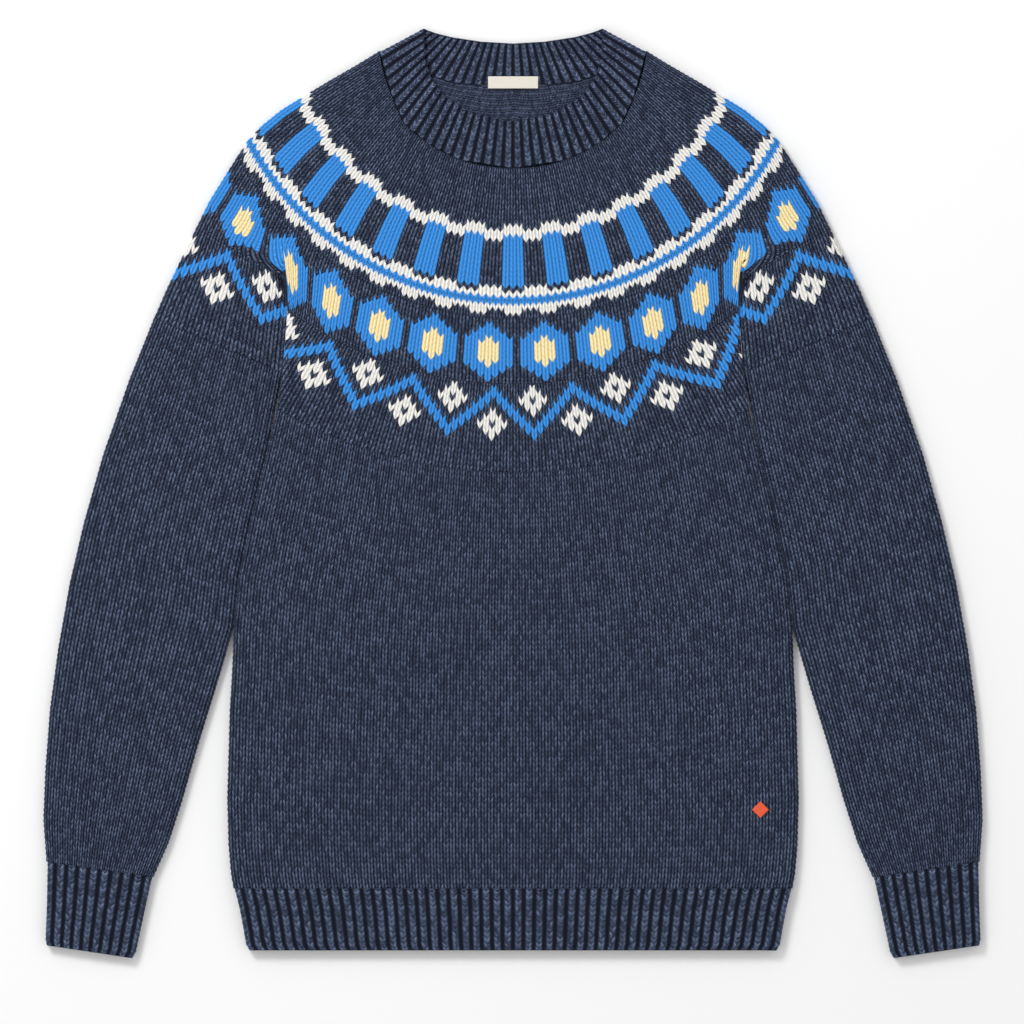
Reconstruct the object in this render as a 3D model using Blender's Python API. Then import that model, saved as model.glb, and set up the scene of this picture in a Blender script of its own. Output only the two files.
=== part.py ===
"""Fair isle jumper, laid flat on its back: back, front, round yoke, two sleeves, ribs and collar.

Metres, +Z up.  The garment rests on z = 0 with its neck towards +Y and its front facing +Z.
Every knitted piece is drawn flat from the middle of the yoke's circles, where `drop` is how far
a point lies below that middle (towards the hem) and `x` how far it lies from the centre line.
Tables are in millimetres and give the wearer's left half; the other half mirrors it.
"""

import math

import bmesh
import bpy

MM = 0.001

# ------------------------------------------------------------------ cloth
CLOTH = 2.6 * MM  # wall of the stocking-stitch cloth
RIB_CLOTH = 3.0 * MM  # wall of the hem and cuff ribs
COLLAR_CLOTH = 4.0 * MM  # the collar is a rib folded double
SEAM = 0.3 * MM  # clear space between two pieces at a seam
LAID = 8.5 * MM  # height of body and yoke, back cloth to front cloth
SLEEVE_LAID = 8.0 * MM
COLLAR_LAID = 9.0 * MM
SIDE_STRIP = 0.8 * MM  # upright strip of cloth at a side seam
FOLD_STEPS = 4  # facets in a quarter turn at a side fold
SHARP = math.radians(50)  # edges sharper than this are shaded as edges

# ------------------------------------------------------------------ whole garment
TOP_DROP = 20.3 * MM  # top of the collar
CUFF_DROP = 746.5 * MM  # lowest point of the cuffs
MIDDLE_OF_YOKE = 0.5 * (TOP_DROP + CUFF_DROP)  # puts the origin under the garment's centre

# Outline from the shoulder notch at the collar down the outside of the sleeve.
OUTLINE = [  # x, drop
    (104, 38), (122, 49), (143, 61), (163, 73), (181, 84), (196, 96), (207, 108),
    (222, 131), (237, 155), (254, 190), (271, 225), (286, 260), (304, 307), (320, 353),
]
# Fold where the sleeve turns down beside the body, over the yoke.
ARMHOLE = [  # x, drop
    (184, 160), (181, 182), (178, 203), (175, 225), (176, 244), (178, 268), (180, 291),
    (184, 318),
]

# ------------------------------------------------------------------ yoke
NECK_SEAM_FRONT = [(0, 129.5), (41, 123), (64, 112), (84, 96), (94, 74), (104, 38)]  # x, drop
NECK_SEAM_BACK = [(0, 64), (29, 64), (48, 62), (64, 57), (84, 48), (104, 38)]  # x, drop
YOKE_TURN = 299.5 * MM  # ring below which the rows bend down the sleeve
YOKE_EDGE = 366.6 * MM  # last ring of the yoke
YOKE_RINGS = [174 * MM, 202 * MM, 230 * MM, 250 * MM, 275 * MM, YOKE_TURN, 320 * MM, 341 * MM]
BODY_STITCHES = 38  # stitches from the centre line to the armhole fold
FOLD_STITCHES = 2
SLEEVE_STITCHES = 19  # from the armhole fold to the outline
QUARTER = BODY_STITCHES + FOLD_STITCHES + SLEEVE_STITCHES
YOKE_STATIONS = [0, 8, 16, 23, 29, 34, 38, 40, 43, 47, 52]  # stitches where the yoke has a vertex
SLEEVE_TILT_AT_TURN = math.radians(44)  # slope of a row on the sleeve side
SLEEVE_TILT = math.radians(25)
TILT_SETTLED = 344 * MM  # ring where that slope is reached
ARMHOLE_DEPTH = 2.6 * MM  # how deep the armhole fold is
ARMHOLE_START = 160 * MM
ARMHOLE_FULL = 245 * MM
BODY_SIDE_WIDTH = 9 * MM  # the fold is steep on the body's side
SLEEVE_SIDE_WIDTH = 22 * MM  # and soft on the sleeve's side

# ------------------------------------------------------------------ body and hem
BODY_EDGE = [  # half width, drop; the sleeve lies beside it down to the underarm at 488
    (184, 318), (192, 350), (204, 400), (214, 448), (218, 488), (219, 518), (221, 552),
    (222, 587), (223, 622), (222, 658), (220, 681), (218, 691),
]
BODY_COLUMNS = 12
HEM_TOP = 691.6 * MM
HEM_EDGE = [(218, 0), (214, 16), (211, 32), (209, 44), (206, 48.3)]  # half width, drop below its top

# ------------------------------------------------------------------ sleeve and cuff
SLEEVE_ROWS = [  # outer x, outer drop, inner x, inner drop; the first row is the yoke's edge
    (299, 293, 192.5, 350),
    (320, 353, 204.5, 400),
    (335, 406, 214.5, 448),
    (346, 453, 218.5, 488),
    (355, 504, 232.0, 535),
    (361.5, 552, 246.0, 580),
    (365, 599, 258.0, 622),
    (366.5, 638, 269.0, 656),
    (364, 670, 281.0, 682),
]
CUFF_ROWS = [  # outer x, outer drop, inner x, inner drop
    (364, 670.8, 281.0, 682.8),
    (364.5, 704, 288, 714),
    (365.5, 732, 294, 742),
    (364, 736, 297, 746),
]
SLEEVE_COLUMNS = 8

# ------------------------------------------------------------------ collar
COLLAR_TOP_FRONT = [(0, 93.6), (33, 86), (53, 74), (64, 59), (69, 44), (70, 20.5)]  # x, drop
COLLAR_TOP_BACK = [(0, 32), (25, 30.5), (48, 27), (60, 24), (70, 20.5)]  # x, drop
COLLAR_RISE = [0.025, 0.35, 0.7, 1.0]  # shares of the way from the seam to the top fold

# ------------------------------------------------------------------ small sewn pieces
LABEL = (39 * MM, 9.4 * MM, 0.7 * MM)
LABEL_DROP = 62.4 * MM
BADGE_ACROSS = 13 * MM
BADGE_THICK = 0.9 * MM
BADGE_X = 193 * MM
BADGE_DROP = 630 * MM

MATERIALS = {  # colour, roughness
    "navy_wool": ((0.018, 0.030, 0.075), 0.95),
    "yoke_wool": ((0.030, 0.075, 0.210), 0.95),
    "navy_rib": ((0.015, 0.026, 0.066), 0.95),
    "label_tape": ((0.82, 0.78, 0.68), 0.8),
    "badge_thread": ((0.80, 0.10, 0.03), 0.6),
}


# ------------------------------------------------------------------ plan: curves and rings
def between(table, key, column, value, unit=MM):
    """The column's value in a table of millimetres where its key column passes value, in metres."""
    rows = sorted(table, key=lambda row: row[key])
    value = min(max(value / unit, rows[0][key]), rows[-1][key])
    for low, high in zip(rows, rows[1:]):
        if value <= high[key]:
            share = (value - low[key]) / (high[key] - low[key])
            return (low[column] + share * (high[column] - low[column])) * unit
    return rows[-1][column] * unit


def along(table, share):
    """The point (x, drop) at a share of a drawn curve's length."""
    points = [(x * MM, drop * MM) for x, drop in table]
    lengths = [math.dist(a, b) for a, b in zip(points, points[1:])]
    left = share * sum(lengths)
    for a, b, length in zip(points, points[1:], lengths):
        if left <= length:
            part = left / length
            return a[0] + part * (b[0] - a[0]), a[1] + part * (b[1] - a[1])
        left -= length
    return points[-1]


def meeting_angle(radius, table):
    """Angle from the centre line at which a ring of the yoke meets a curve of the plan."""
    low, high = 0.2, 1.4
    for _ in range(40):
        middle = 0.5 * (low + high)
        inside = radius * math.sin(middle) < between(table, 1, 0, radius * math.cos(middle))
        low, high = (middle, high) if inside else (low, middle)
    return low


def on_circle(radius, angle):
    return radius * math.sin(angle), radius * math.cos(angle)


def mix(a, b, share):
    return a[0] + share * (b[0] - a[0]), a[1] + share * (b[1] - a[1])


def sleeve_side_start(radius, outer):
    """Where a row of the yoke's sleeve part leaves the armhole fold."""
    share = min(1.0, (radius - YOKE_TURN) / (TILT_SETTLED - YOKE_TURN))
    tilt = SLEEVE_TILT_AT_TURN + share * (SLEEVE_TILT - SLEEVE_TILT_AT_TURN)
    x, drop = outer
    while x > between(ARMHOLE, 1, 0, drop) + 4 * MM:
        x -= 0.5 * MM
        drop += 0.5 * MM * math.tan(tilt)
    return x, drop


def yoke_point(radius, stitch):
    """Plan point of a stitch, counted from the centre line, on a ring of the yoke."""
    shoulder = meeting_angle(radius, OUTLINE)
    if radius < YOKE_TURN:
        return on_circle(radius, shoulder * stitch / QUARTER)
    if stitch <= BODY_STITCHES:
        return on_circle(radius, meeting_angle(radius, ARMHOLE) * stitch / BODY_STITCHES)
    outer = on_circle(radius, shoulder)
    share = (stitch - BODY_STITCHES - FOLD_STITCHES) / SLEEVE_STITCHES
    return mix(sleeve_side_start(radius, outer), outer, share)


def armhole_dip(x, drop):
    """How far the front cloth sinks beside the armhole fold."""
    away = x - between(ARMHOLE, 1, 0, drop)
    width = SLEEVE_SIDE_WIDTH if away > 0 else BODY_SIDE_WIDTH
    near = max(0.0, 1.0 - abs(away) / width)
    grown = min(max((drop - ARMHOLE_START) / (ARMHOLE_FULL - ARMHOLE_START), 0.0), 1.0)
    return ARMHOLE_DEPTH * grown * near * near


# ------------------------------------------------------------------ flat rings
def folded(points, height, wall=0.0, dip=None):
    """One half of a flattened ring: plan points from its middle to its side fold, lifted to the
    front cloth, and the quarter turn of the fold at its end.  A wall gives the cloth's inner
    face.  Returns (x, drop, z) points."""
    outside = height / 2
    radius = outside - wall
    end, before = points[-1], points[-2]
    length = math.dist(end, before)
    way = ((end[0] - before[0]) / length, (end[1] - before[1]) / length)
    ring = [(x, drop, height - wall - (dip(x, drop) if dip else 0.0)) for x, drop in points[:-1]]
    for step in range(FOLD_STEPS + 1):
        turn = math.pi / 2 * step / FOLD_STEPS
        inset = outside - radius * math.sin(turn)
        place = (end[0] - way[0] * inset, end[1] - way[1] * inset)
        dipped = dip(*place) * math.cos(turn) if dip else 0.0
        ring.append((*place, outside + radius * math.cos(turn) - dipped))
    return ring


def below(ring, height):
    """The back half of a flattened ring, over the same plan points."""
    return [(x, drop, height - z) for x, drop, z in ring]


def whole_ring(front_half, back_half):
    """Closes a ring that mirrors over the centre line: front half, back half and their mirrors."""
    left_side = front_half + back_half[-2::-1]
    right_side = [(-x, drop, z) for x, drop, z in left_side[-2:0:-1]]
    return left_side + right_side


# ------------------------------------------------------------------ making objects
def strip(mesh, upper, lower, closed):
    """Faces between two rows of corners."""
    count = len(upper)
    for i in range(count if closed else count - 1):
        j = (i + 1) % count
        mesh.faces.new((upper[i], lower[i], lower[j], upper[j]))


def cloth(outer_rows, inner_rows, closed):
    """A walled sheet lofted through rows of (x, drop, z) points of its two faces."""
    mesh = bmesh.new()
    outer, inner = (
        [[mesh.verts.new((x, -drop, z)) for x, drop, z in row] for row in rows]
        for rows in (outer_rows, inner_rows)
    )
    for upper, lower in zip(outer, outer[1:]):
        strip(mesh, upper, lower, closed)
    for upper, lower in zip(inner, inner[1:]):
        strip(mesh, lower, upper, closed)
    strip(mesh, inner[0], outer[0], closed)
    strip(mesh, outer[-1], inner[-1], closed)
    if not closed:
        strip(mesh, [row[0] for row in outer], [row[0] for row in inner], False)
        strip(mesh, [row[-1] for row in inner], [row[-1] for row in outer], False)
    bmesh.ops.recalc_face_normals(mesh, faces=mesh.faces)
    return mesh


def add_piece(name, mesh, material):
    """Puts a mesh in the garment as a named piece."""
    data = bpy.data.meshes.new(name)
    mesh.to_mesh(data)
    mesh.free()
    data.shade_smooth()
    data.set_sharp_from_angle(angle=SHARP)
    piece = bpy.data.objects.new(name, data)
    piece.data.materials.append(MADE[material])
    piece.parent = HOLDER
    GARMENT.objects.link(piece)
    return piece


def make_material(name, colour, roughness):
    material = bpy.data.materials.new(name)
    material.use_nodes = True
    shader = material.node_tree.nodes["Principled BSDF"]
    shader.inputs["Base Color"].default_value = (*colour, 1)
    shader.inputs["Roughness"].default_value = roughness
    shader.inputs["Metallic"].default_value = 0
    return material


# ------------------------------------------------------------------ the pieces
def ring_pair(front, back, height, wall, dip=None):
    """The outer and inner ring of a tube laid flat, from its front and back half rows."""
    return [
        whole_ring(folded(front, height, depth, dip), below(folded(back, height, depth), height))
        for depth in (0.0, wall)
    ]


def add_tube(name, pairs, material):
    outer, inner = zip(*pairs)
    return add_piece(name, cloth(outer, inner, closed=True), material)


def add_yoke():
    stitches = YOKE_STATIONS + [QUARTER]
    front = [along(NECK_SEAM_FRONT, s / QUARTER) for s in stitches]
    back = [along(NECK_SEAM_BACK, s / QUARTER) for s in stitches]
    first = [yoke_point(YOKE_RINGS[0], s) for s in stitches]
    pairs = []
    for share in (0.0, 0.5):
        rows = [[mix(a, b, share) for a, b in zip(seam, first)] for seam in (front, back)]
        pairs.append(ring_pair(*rows, LAID, CLOTH))
    for radius in YOKE_RINGS + [YOKE_EDGE]:
        row = [yoke_point(radius, s) for s in stitches]
        pairs.append(ring_pair(row, row, LAID, CLOTH, armhole_dip))
    add_tube("yoke", pairs, "yoke_wool")


def body_row(half, edge_drop):
    """Half of one row of the body: its top follows the yoke's edge and its foot is straight."""
    top_half, foot = BODY_EDGE[0][0] * MM, BODY_EDGE[-1][1] * MM
    radius = YOKE_EDGE + SEAM
    top_edge = math.sqrt(radius**2 - top_half**2)
    sag = (foot - edge_drop) / (foot - top_edge)
    points = []
    for column in range(BODY_COLUMNS + 1):
        part = column / BODY_COLUMNS
        arc = math.sqrt(radius**2 - (part * top_half) ** 2) - top_edge
        points.append((part * half, edge_drop + sag * arc))
    return points


def add_body():
    top_half, foot = BODY_EDGE[0][0] * MM, BODY_EDGE[-1][1] * MM
    top = (top_half, math.sqrt((YOKE_EDGE + SEAM) ** 2 - top_half**2))
    edge = [top] + [(half * MM, drop * MM) for half, drop in BODY_EDGE[1:]]
    height = LAID - SEAM - 2 * SIDE_STRIP
    for name, is_front in (("body_front", True), ("body_back", False)):
        faces = []
        for wall in (0.0, CLOTH):
            rows = []
            for half_width, drop in edge:
                half = folded(body_row(half_width, drop), height, wall)
                side = half[-1]
                half.append((side[0], side[1], side[2] - SIDE_STRIP))
                if is_front:
                    half = [(x, down, z + LAID - height) for x, down, z in half]
                else:
                    half = below(half, height)
                rows.append([(-x, down, z) for x, down, z in half[:0:-1]] + half)
            faces.append(rows)
        add_piece(name, cloth(*faces, closed=False), "navy_wool")


def add_hem():
    pairs = []
    for half, down in HEM_EDGE:
        columns = BODY_COLUMNS
        row = [(half * MM * i / columns, HEM_TOP + down * MM) for i in range(columns + 1)]
        pairs.append(ring_pair(row, row, LAID, RIB_CLOTH))
    add_tube("hem_rib", pairs, "navy_rib")


def sleeve_ring(outer, inner, side, wall):
    """One face of a flattened ring across a sleeve, between its outer and its inner fold."""
    middle = mix(outer, inner, 0.5)
    steps = SLEEVE_COLUMNS // 2
    to_outer, to_inner = (
        folded([mix(middle, end, i / steps) for i in range(steps + 1)], SLEEVE_LAID, wall)
        for end in (outer, inner)
    )
    front = to_inner[:0:-1] + to_outer
    ring = front + below(front, SLEEVE_LAID)[-2:0:-1]
    return [(side * x, drop, z) for x, drop, z in ring]


def add_sleeves():
    edge = [yoke_point(YOKE_EDGE, stitch) for stitch in (QUARTER, BODY_STITCHES + FOLD_STITCHES)]
    down = (SEAM * math.sin(SLEEVE_TILT), SEAM * math.cos(SLEEVE_TILT))
    first = [(x + down[0], drop + down[1]) for x, drop in edge]
    sleeve = [first] + [((a * MM, b * MM), (c * MM, d * MM)) for a, b, c, d in SLEEVE_ROWS]
    cuff = [((a * MM, b * MM), (c * MM, d * MM)) for a, b, c, d in CUFF_ROWS]
    for side_name, side in (("left", 1), ("right", -1)):
        for name, rows, wall, material in (
            ("sleeve", sleeve, CLOTH, "navy_wool"),
            ("cuff", cuff, RIB_CLOTH, "navy_rib"),
        ):
            pairs = [[sleeve_ring(*row, side, depth) for depth in (0.0, wall)] for row in rows]
            add_tube(f"{name}_{side_name}", pairs, material)


def add_collar():
    stations = [stitch / QUARTER for stitch in YOKE_STATIONS + [QUARTER]]
    pairs = []
    for rise in COLLAR_RISE:
        rows = [
            [mix(along(seam, s), along(top, s), rise) for s in stations]
            for seam, top in (
                (NECK_SEAM_FRONT, COLLAR_TOP_FRONT),
                (NECK_SEAM_BACK, COLLAR_TOP_BACK),
            )
        ]
        pairs.append(ring_pair(*rows, COLLAR_LAID, COLLAR_CLOTH))
    add_tube("collar", pairs, "navy_rib")


def add_small_pieces():
    label = bmesh.new()
    bmesh.ops.create_cube(label, size=1)
    bmesh.ops.scale(label, vec=LABEL, verts=label.verts)
    tape = add_piece("neck_label", label, "label_tape")
    tape.location = (0, -LABEL_DROP, COLLAR_CLOTH + SEAM + LABEL[2] / 2)
    badge = bmesh.new()
    across = BADGE_ACROSS / 2
    bmesh.ops.create_cone(
        badge, cap_ends=True, segments=4, radius1=across, radius2=across, depth=BADGE_THICK
    )
    stitched = add_piece("hem_badge", badge, "badge_thread")
    stitched.location = (BADGE_X, -BADGE_DROP, LAID + SEAM + BADGE_THICK / 2)


for thing in list(bpy.data.objects):
    bpy.data.objects.remove(thing, do_unlink=True)

GARMENT = bpy.data.collections.new("fair_isle_jumper")
bpy.context.scene.collection.children.link(GARMENT)
HOLDER = bpy.data.objects.new("middle_of_yoke", None)
HOLDER.location = (0, MIDDLE_OF_YOKE, 0)
GARMENT.objects.link(HOLDER)
MADE = {name: make_material(name, *look) for name, look in MATERIALS.items()}

add_body()
add_hem()
add_yoke()
add_sleeves()
add_collar()
add_small_pieces()
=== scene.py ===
"""Fair isle jumper laid flat: knitted shells, ribs, yoke pattern, label and stitched patch.

The knitting is a mesh of real stitches: every stitch is a V of two legs, raised over the wall of
the cloth.  Points are worked out in the garment's plan: `x` from the centre line and `drop` down
from the middle of the yoke's circles.
"""

import math

import bpy
import numpy as np
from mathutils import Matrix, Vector


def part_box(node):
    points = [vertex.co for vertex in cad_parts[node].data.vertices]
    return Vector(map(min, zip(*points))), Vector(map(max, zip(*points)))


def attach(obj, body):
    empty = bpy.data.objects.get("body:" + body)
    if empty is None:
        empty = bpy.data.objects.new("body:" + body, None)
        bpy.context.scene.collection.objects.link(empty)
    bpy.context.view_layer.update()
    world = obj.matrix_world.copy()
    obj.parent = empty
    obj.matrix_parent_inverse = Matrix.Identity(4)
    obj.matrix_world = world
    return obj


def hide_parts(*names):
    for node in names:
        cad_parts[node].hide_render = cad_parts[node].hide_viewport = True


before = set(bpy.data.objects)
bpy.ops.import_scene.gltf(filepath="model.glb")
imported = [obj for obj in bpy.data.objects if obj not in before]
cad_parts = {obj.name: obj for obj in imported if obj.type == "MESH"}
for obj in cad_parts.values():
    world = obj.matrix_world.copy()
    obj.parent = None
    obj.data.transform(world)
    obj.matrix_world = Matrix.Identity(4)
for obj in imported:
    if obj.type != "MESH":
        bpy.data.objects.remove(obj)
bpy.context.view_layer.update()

MM = 0.001

# ------------------------------------------------------------------ sizes of the cloth
MIDDLE = 383.4 * MM  # y of the middle of the yoke's circles
CLOTH, RIB_CLOTH, COLLAR_CLOTH = 2.6 * MM, 3.0 * MM, 4.0 * MM
LAID, SLEEVE_LAID, COLLAR_LAID = 8.5 * MM, 8.0 * MM, 9.0 * MM  # heights of the laid tubes
SEAM, CLOSE_SEAM = 0.3 * MM, 0.02 * MM
RELIEF = 1.1 * MM  # height of the stitches' relief

OUTLINE = [  # x, drop
    (104, 38), (122, 49), (143, 61), (163, 73), (181, 84), (196, 96), (207, 108),
    (222, 131), (237, 155), (254, 190), (271, 225), (286, 260), (304, 307), (320, 353),
]
ARMHOLE = [  # x, drop
    (184, 160), (181, 182), (178, 203), (175, 225), (176, 244), (178, 268), (180, 291),
    (184, 318),
]
BODY_EDGE = [  # half width, drop
    (184, 318), (192, 350), (204, 400), (214, 448), (218, 488), (219, 518), (221, 552),
    (222, 587), (223, 622), (222, 658), (220, 681), (218, 691.55),
]
NECK_SEAM_FRONT = [(0, 129.5), (41, 123), (64, 112), (84, 96), (94, 74), (104, 38)]
NECK_SEAM_BACK = [(0, 64), (29, 64), (48, 62), (64, 57), (84, 48), (104, 38)]
COLLAR_TOP_FRONT = [(0, 93.6), (33, 86), (53, 74), (64, 59), (69, 44), (70, 20.5)]
COLLAR_TOP_BACK = [(0, 32), (25, 30.5), (48, 27), (60, 24), (70, 20.5)]
HEM_TOP = 691.6
HEM_EDGE = [(218, 0), (214, 16), (211, 32), (209, 44), (206, 48.3)]  # half width, down
SLEEVE_EDGES = [  # outer x, outer drop, inner x, inner drop
    (299, 293, 192.1, 350), (320, 353, 204.1, 400), (335, 406, 214.1, 448),
    (346, 453, 218.1, 488), (355, 504, 232.0, 535), (361.5, 552, 246.0, 580),
    (365, 599, 258.0, 622), (366.5, 638, 269.0, 656), (364, 670.75, 281.0, 682.75),
]
CUFF_EDGES = [
    (364, 670.8, 281.0, 682.8), (364.5, 704, 288, 714), (365.5, 732, 294, 742),
    (364, 736, 297, 746),
]

YOKE_TURN = 299.5 * MM  # radius at which the rows leave the circles for the sleeves' slope
YOKE_EDGE = 366.88 * MM
QUARTER = 59  # stitches of the lowest rings from the centre front to the shoulder's fold
CREASE_START, ROWS_BEND = 260 * MM, 262 * MM  # radii
TURN_STITCH, TURN_HIDDEN = 42.8, 3.8  # last body stitch at the turn, and stitches hidden there
SLEEVE_STITCH = 42  # first sleeve stitch of the rings below the turn
LEFT_HIDDEN = 7  # more stitches hidden in the crease on the wearer's right
BODY_SPREAD = (0.80, 0.003)  # degrees a stitch, and its growth
CROWDING, SPREADING = 5, 7  # powers: how near to the crease the stitches crowd and spread
LOWER = 6 * MM  # how far the rows of a sleeve sink towards its outer fold
TILT_AT_TURN, TILT = math.radians(32), math.radians(25)  # slopes of the sleeves' rows
TILT_SETTLED = 344 * MM
START_GAP, START_STEP = 0.7 * MM, 0.5 * MM
VALLEY, VALLEY_REACH = 3.2 * MM, 18 * MM  # depth and width of the armhole crease
ROLL, ROLL_REACH = 0.6 * MM, 12 * MM  # height and width of the body's roll beside it
SLEEVE_VALLEY, VALLEY_FADE = 2.6 * MM, 0.5  # the crease's depth on a sleeve, and its share
FOLD_REACH = 3.2 * MM  # plan width of the roundness at a side fold
THINNEST = 0.3 * MM
TINY = 1e-6

# ------------------------------------------------------------------ yarns
NAVY, BLUE, CREAM, YELLOW = range(4)
YARN_COLOURS = np.array(
    [(0.0125, 0.0165, 0.0350), (0.050, 0.290, 0.780), (0.86, 0.84, 0.80), (0.97, 0.80, 0.43)]
)
HEATHER = np.array([1.0, 0.0, 0.0, 0.0])  # only the navy yarn has light flecks
# Light blue-grey of the navy yarn's heather flecks, also used as the painted highlight on the legs'
# raised tops.
FLECK_AND_HIGHLIGHT = (0.150, 0.200, 0.320, 1)


def table_column(table, index):
    return np.array([row[index] for row in table], float) * MM


def outline_x(drop):
    return np.interp(drop, table_column(OUTLINE, 1), table_column(OUTLINE, 0))


def armhole_x(drop):
    return np.interp(drop, table_column(ARMHOLE, 1), table_column(ARMHOLE, 0))


def along(table, share):
    """Points at shares of a curve's length, and that length."""
    x, drop = table_column(table, 0), table_column(table, 1)
    length = np.concatenate([[0], np.cumsum(np.hypot(np.diff(x), np.diff(drop)))])
    return (
        np.interp(share * length[-1], length, x),
        np.interp(share * length[-1], length, drop),
        length[-1],
    )


def meeting_angle(radius, curve):
    """Angle from the centre line at which circles of these radii meet a curve."""
    low, high = np.full_like(radius, 0.2), np.full_like(radius, 1.4)
    for _ in range(40):
        middle = 0.5 * (low + high)
        inside = radius * np.sin(middle) < curve(radius * np.cos(middle))
        low, high = np.where(inside, middle, low), np.where(inside, high, middle)
    return low


# Where each circle of the yoke meets the shoulder's fold and the armhole, and where a sleeve's
# sloping row, walked in small steps from the fold, meets the armhole.
RADII = np.linspace(50 * MM, 380 * MM, 661)
NECK_RADIUS = math.hypot(*OUTLINE[0]) * MM
SHOULDER = meeting_angle(np.maximum(RADII, NECK_RADIUS), outline_x)
ARM = meeting_angle(RADII, armhole_x)
SETTLED = np.clip((RADII - YOKE_TURN) / (TILT_SETTLED - YOKE_TURN), 0, 1)
SLEEVE_SLOPE = np.tan(TILT_AT_TURN + SETTLED * (TILT - TILT_AT_TURN))
START_X, START_DROP = RADII * np.sin(SHOULDER), RADII * np.cos(SHOULDER)
for _ in range(500):
    STEP = np.where(START_X > armhole_x(START_DROP) + START_GAP, START_STEP, 0)
    START_X, START_DROP = START_X - STEP, START_DROP + STEP * SLEEVE_SLOPE


def side_fold(share, length, height, depth):
    """Share of the cloth from a ring's middle to its side fold, as distance and height."""
    outside = height / 2
    flat_length = length - FOLD_REACH
    cloth = share * (flat_length + math.pi / 2 * FOLD_REACH)
    turn = np.clip((cloth - flat_length) / FOLD_REACH, 0, math.pi / 2)
    reach = FOLD_REACH - np.minimum(depth, FOLD_REACH - THINNEST)
    plan = np.minimum(cloth, flat_length) + reach * np.sin(turn)
    return plan, outside + (outside - depth) * np.cos(turn)


def yoke_layout(stitch, radius, low):
    """Each stitch's quarter and its count from the centre line, then the last body stitch and
    the first sleeve stitch of its row, the angles of the fold and of the armhole, and how far
    the crease has grown.  low is for the rings below the turn."""
    turn = np.mod(stitch, 4 * QUARTER)
    quarter = np.floor(turn / QUARTER).astype(int) % 4
    within = turn - quarter * QUARTER
    count = np.where(quarter % 2 == 0, within, QUARTER - within)
    shoulder, arm = np.interp(radius, RADII, SHOULDER), np.interp(radius, RADII, ARM)
    a, b = BODY_SPREAD
    grown = np.clip((radius - CREASE_START) / (YOKE_TURN - CREASE_START), 0, 1)
    if low:
        last = (np.sqrt(a * a + 4 * b * np.degrees(arm)) - a) / (2 * b)
        first = np.full_like(last, SLEEVE_STITCH)
    else:
        opens = np.interp(CREASE_START, RADII, QUARTER * ARM / SHOULDER)
        last = opens + (TURN_STITCH - opens) * grown
        first = last + TURN_HIDDEN * grown**1.5
    return quarter, count, last, first, shoulder, arm, grown


def place_yoke(stitch, radius, depth, low=False):
    """stitch counts round the ring of 4 quarters, from the centre front to the wearer's left.
    Below the crease's start the body's side ends on the armhole line, some stitches are hidden
    in the crease, and the rest run down the sleeve."""
    quarter, count, last, first, shoulder, arm, grown = yoke_layout(stitch, radius, low)
    side = np.where(quarter < 2, 1.0, -1.0)
    front = (quarter == 0) | (quarter == 3)
    bend = np.clip((radius - ROWS_BEND) / (YOKE_TURN - ROWS_BEND), 0, 1)
    bend = bend * bend * (3 - 2 * bend)
    below = radius + LOWER / 2 * bend
    start = np.interp(below, RADII, START_X), np.interp(below, RADII, START_DROP)
    plan, z = side_fold(count / QUARTER, radius * shoulder, LAID, depth)
    ring_angle = plan / radius
    share = np.clip((count - first) / (QUARTER - first), 0, 1)
    inside = np.clip((count - last) / np.maximum(first - last, TINY), 0, 1)
    arm_end = radius * np.sin(arm), radius * np.cos(arm)
    below = radius + LOWER * bend
    fold = np.interp(below, RADII, SHOULDER)
    end = below * np.sin(fold), below * np.cos(fold)
    begin = [a + bend * (b - a) for a, b in zip(arm_end, start)]
    length = np.maximum(np.hypot(end[0] - begin[0], end[1] - begin[1]), TINY)
    if low:
        a, b = BODY_SPREAD
        body_angle = np.minimum(np.radians(a * count + b * count * count), arm)
        plan, z_low = side_fold(share, length, LAID, depth)
        part = plan / length
        z = np.where(share > 0, z_low, LAID - depth)
    else:
        ends_at = shoulder * last / QUARTER
        even = shoulder * np.minimum(count, last) / QUARTER
        body_angle = even - (ends_at - arm) * (even / ends_at) ** CROWDING
        hidden = shoulder * first / QUARTER - arm
        shifted = ring_angle - hidden * (1 - share) ** SPREADING
        part = np.clip((shifted - arm) / (shoulder - arm), 0, 1)
    angle = arm + (shoulder - arm) * part
    arc = radius * np.sin(angle), radius * np.cos(angle)
    straight = [a + (b - a) * part for a, b in zip(begin, end)]
    sleeve = [a + bend * (b - a) for a, b in zip(arc, straight)]
    body = radius * np.sin(body_angle), radius * np.cos(body_angle)
    bent = [np.where(share > 0, c, a + inside * (b - a)) for a, b, c in zip(body, begin, sleeve)]
    whole = radius < CREASE_START
    x = np.where(whole, radius * np.sin(ring_angle), bent[0])
    drop = np.where(whole, radius * np.cos(ring_angle), bent[1])
    roll = np.clip(1 - (arm - body_angle) * radius / ROLL_REACH, 0, 1)
    roll = ROLL * 4 * roll * (1 - roll) * (inside <= 0)
    valley = VALLEY * np.clip(1 - part * length / VALLEY_REACH, 0, 1) ** 2 * inside
    z = z + grown**2 * (roll - valley) * np.clip(2 * z / LAID - 1, 0, 1)
    return side * x, drop, np.where(front, z, LAID - z)


def fold_softening(stitch, radius, low):
    """Stitches hidden in the crease, and half a stitch beside them, have hardly any relief."""
    _, count, last, first, _, _, grown = yoke_layout(stitch, radius, low)
    hidden = (count > last - 0.6) & (count < first + 0.6)
    return np.where(hidden, 1 - 0.9 * np.clip(4 * grown, 0, 1), 1.0)


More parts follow.
